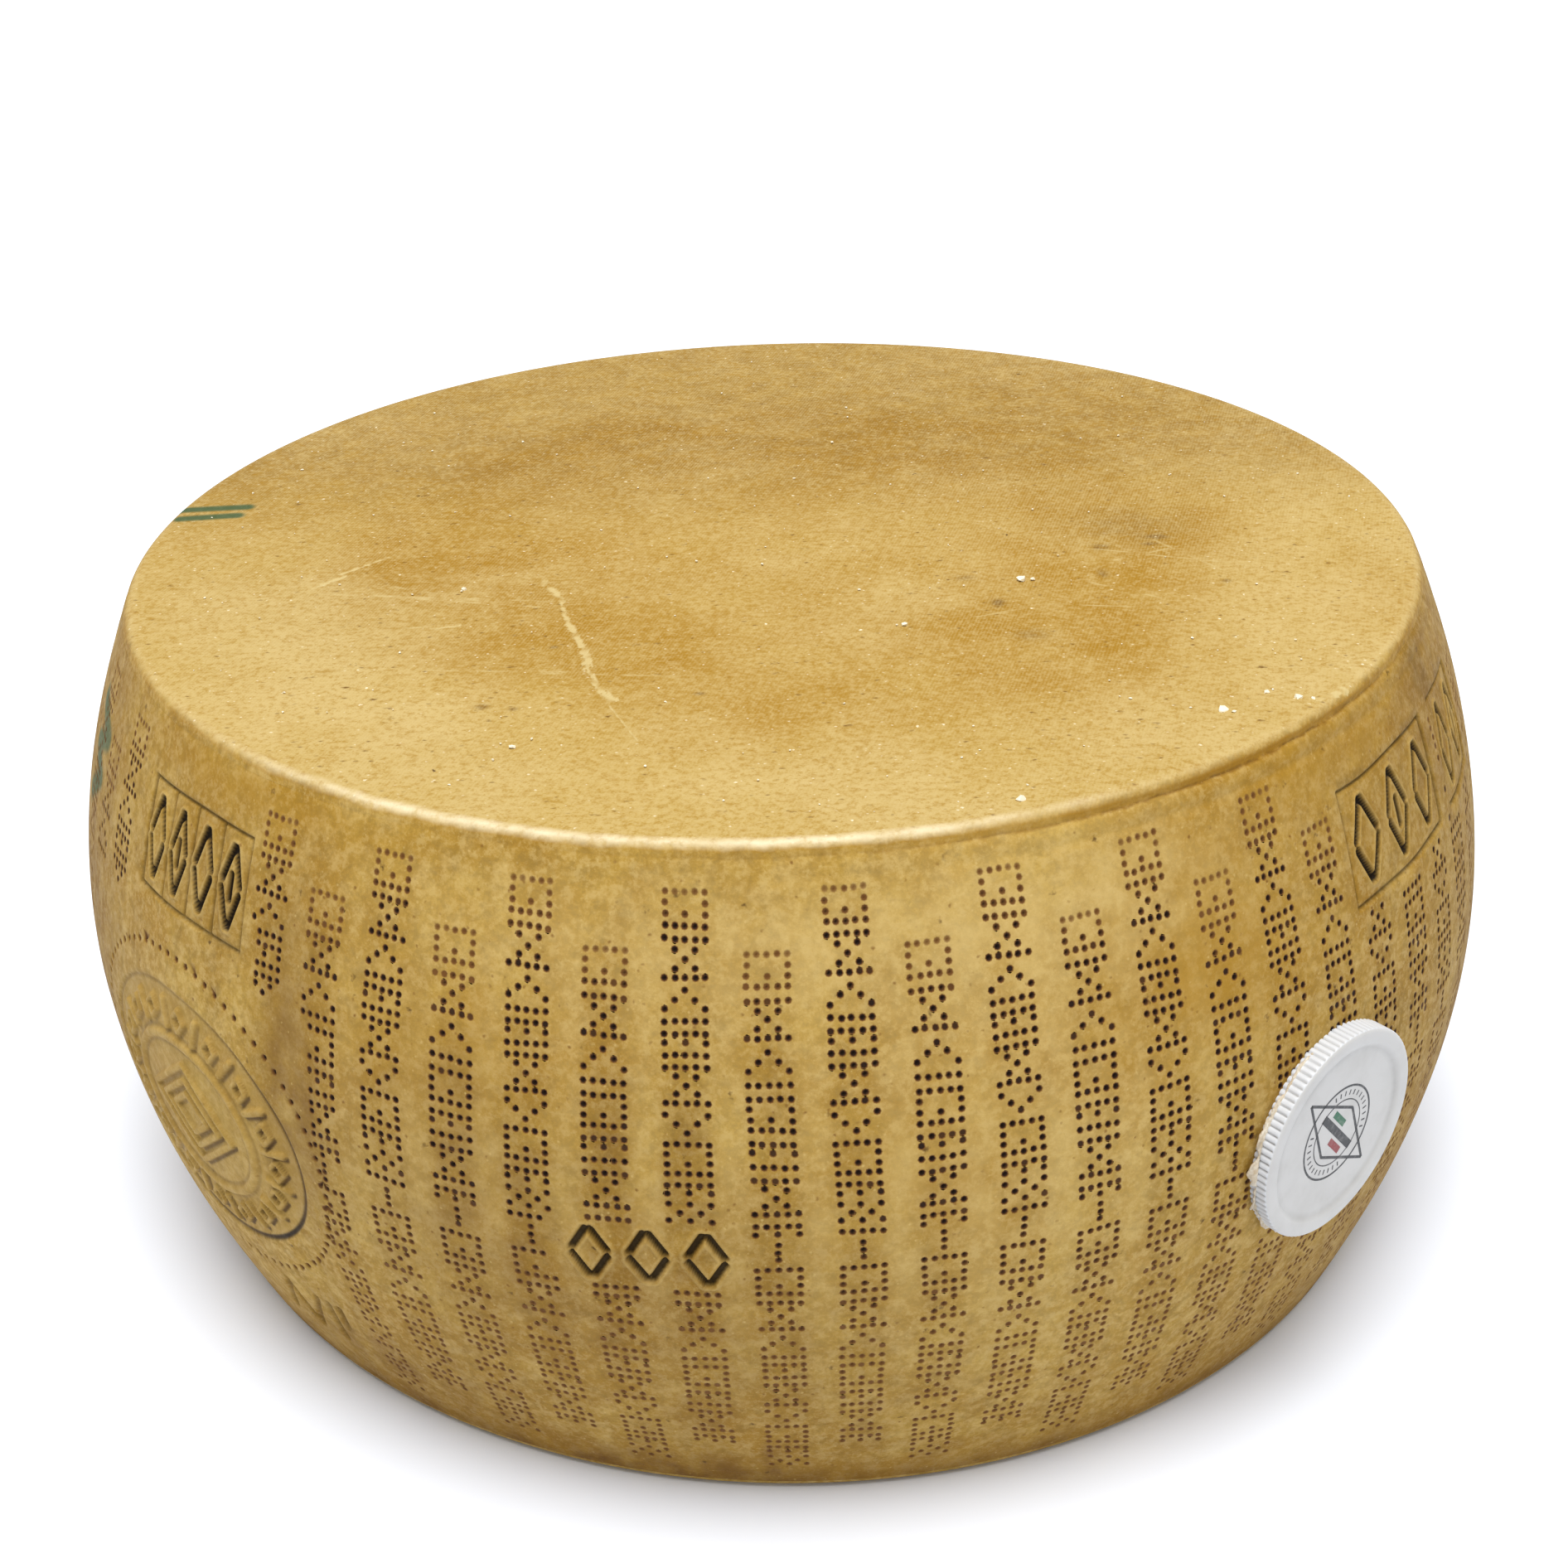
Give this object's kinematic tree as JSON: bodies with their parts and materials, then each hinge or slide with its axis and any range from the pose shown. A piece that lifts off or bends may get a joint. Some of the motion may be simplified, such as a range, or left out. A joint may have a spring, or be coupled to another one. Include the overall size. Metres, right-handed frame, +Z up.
{
  "type": "parmesan cheese wheel",
  "caption": "Whole wheel of hard aged cheese, barrel-sided with flat faces, dotted and stamped rind, oval seal and a ribbed cap stuck to its side.",
  "frame": {"origin": "middle of the flat face that the wheel lies on", "axes": "+Z up through the middle of the wheel, -Y towards the side with the three stencilled lozenges, +X towards the side with the cap"},
  "size_m": [0.464, 0.464, 0.2213],
  "materials": {
    "rind": "dry, waxy olive-gold cheese rind with dark pin dots, ochre stains and a cloth-printed top",
    "cap": "moulded white plastic, satin",
    "paper": "torn beige paper, dull"
  },
  "bodies": {
    "root": {"cheese_wheel": "rind", "side_cap": "cap", "cap_paper": "paper"}
  },
  "joints": []
}
